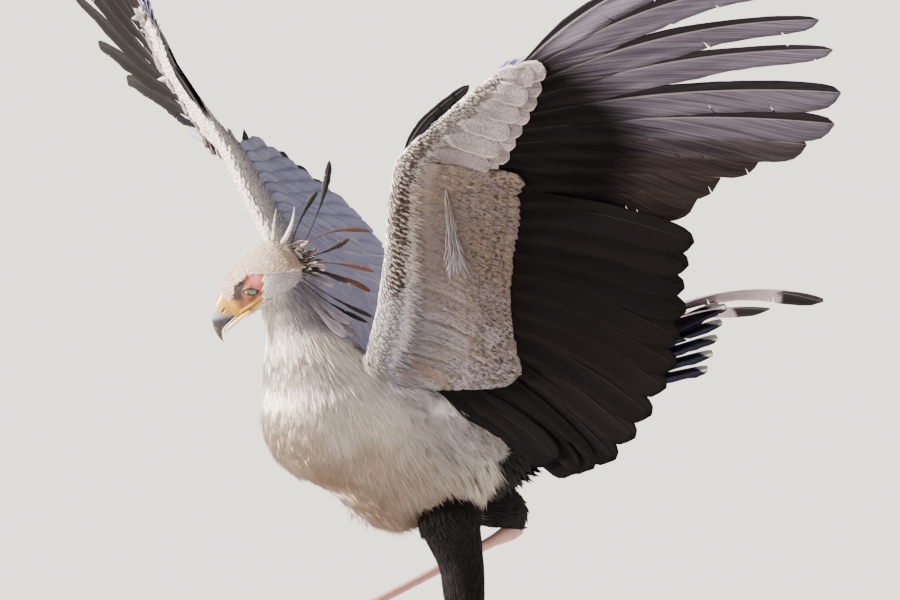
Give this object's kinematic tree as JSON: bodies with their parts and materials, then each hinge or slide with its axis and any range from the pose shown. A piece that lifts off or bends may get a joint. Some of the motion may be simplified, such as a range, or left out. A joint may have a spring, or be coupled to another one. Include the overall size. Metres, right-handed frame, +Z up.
{
  "type": "secretary bird",
  "caption": "Long-legged crested raptor with its wings raised and a leg lifted in a stride, a still life-size model on a flat rectangular plate.",
  "frame": {"origin": "centre of the underside of the plate the bird stands on", "axes": "+Z up, -Y the way the bird's body faces, +X its own left"},
  "size_m": [1.1494, 0.9018, 1.3156],
  "materials": {
    "pale_feather": "soft contour feathers, off-white to pinkish cream",
    "neck_feather": "soft contour feathers, lilac grey behind and cream in front",
    "head_feather": "short cream-pink feathers, bare orange face, grey and black crest",
    "bill_horn": "smooth horn, whitish with a blue-grey hook and a yellow cere",
    "eye": "wet, pale grey-yellow iris with a black pupil",
    "wing_feather": "flight feathers black-brown to purplish grey, coverts off-white speckled dark and lilac grey",
    "tail_feather": "blue-black with white tips, long grey middle pair",
    "black_feather": "short black feathers, barred brown near the heel",
    "leg_skin": "pink scaly skin",
    "claw_horn": "dark horn",
    "plate_wood": "oiled dark wood"
  },
  "bodies": {
    "root": {"torso": "pale_feather", "neck": "neck_feather", "head": "head_feather", "bill_upper": "bill_horn", "bill_lower": "bill_horn", "eye_left": "eye", "eye_right": "eye", "wing_left": "wing_feather", "wing_right": "wing_feather", "tail": "tail_feather", "thigh_left": "black_feather", "tarsus_left": "leg_skin", "foot_left": "leg_skin", "claw_left_1": "claw_horn", "claw_left_2": "claw_horn", "claw_left_3": "claw_horn", "claw_left_4": "claw_horn", "thigh_right": "black_feather", "tarsus_right": "leg_skin", "foot_right": "leg_skin", "claw_right_1": "claw_horn", "claw_right_2": "claw_horn", "claw_right_3": "claw_horn", "claw_right_4": "claw_horn", "stand_base": "plate_wood"}
  },
  "joints": []
}
